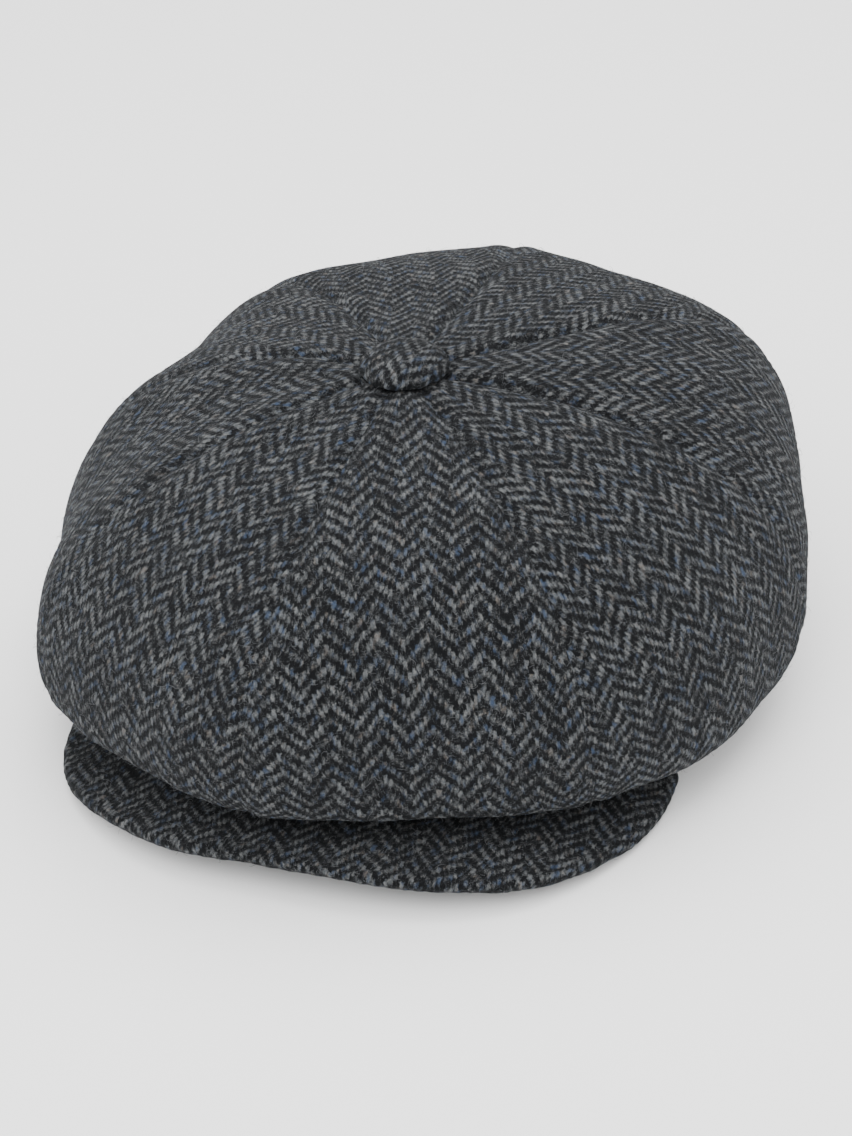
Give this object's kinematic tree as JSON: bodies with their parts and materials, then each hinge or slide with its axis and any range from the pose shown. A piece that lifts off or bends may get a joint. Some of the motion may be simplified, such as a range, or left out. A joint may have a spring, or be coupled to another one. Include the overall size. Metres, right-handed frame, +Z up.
{
  "type": "newsboy cap",
  "caption": "Soft newsboy cap in herringbone wool tweed: panelled round crown with a covered button, headband with sweatband, satin lining and a short stiff peak.",
  "frame": {"origin": "under the middle of the cap's outline, on the surface it stands on", "axes": "+Z up; -Y is the front, where the peak is; +X is the wearer's left"},
  "size_m": [0.2662, 0.2978, 0.1311],
  "materials": {
    "wool_tweed": "brushed herringbone wool tweed, charcoal and pale grey yarn with blue and brown flecks",
    "lining_satin": "woven satin, charcoal, soft sheen",
    "interlining_canvas": "stiffened cotton canvas, unbleached",
    "sweatband_twill": "cotton twill ribbon, black",
    "label_satin": "woven satin, blank",
    "peak_board_plastic": "flexible polyethylene board, matt",
    "button_metal": "pressed, satin",
    "sewing_thread": "waxed button thread, black",
    "wool_felt": "pressed felt, charcoal"
  },
  "bodies": {
    "root": {"crown_panel_front_left": "wool_tweed", "crown_panel_left_front": "wool_tweed", "crown_panel_left_back": "wool_tweed", "crown_panel_back_left": "wool_tweed", "crown_panel_back_right": "wool_tweed", "crown_panel_right_back": "wool_tweed", "crown_panel_right_front": "wool_tweed", "crown_panel_front_right": "wool_tweed", "lining_panel_front_left": "lining_satin", "lining_panel_left_front": "lining_satin", "lining_panel_left_back": "lining_satin", "lining_panel_back_left": "lining_satin", "lining_panel_back_right": "lining_satin", "lining_panel_right_back": "lining_satin", "lining_panel_right_front": "lining_satin", "lining_panel_front_right": "lining_satin", "outer_band": "wool_tweed", "band_interlining": "interlining_canvas", "sweatband": "sweatband_twill", "lining_patch": "label_satin", "care_label": "label_satin", "peak_top_cover": "wool_tweed", "peak_board": "peak_board_plastic", "peak_bottom_cover": "wool_tweed", "button_cover": "wool_tweed", "button_shell": "button_metal", "button_back_plate": "button_metal", "button_shank": "button_metal", "button_thread": "sewing_thread", "button_washer": "wool_felt"}
  },
  "joints": []
}
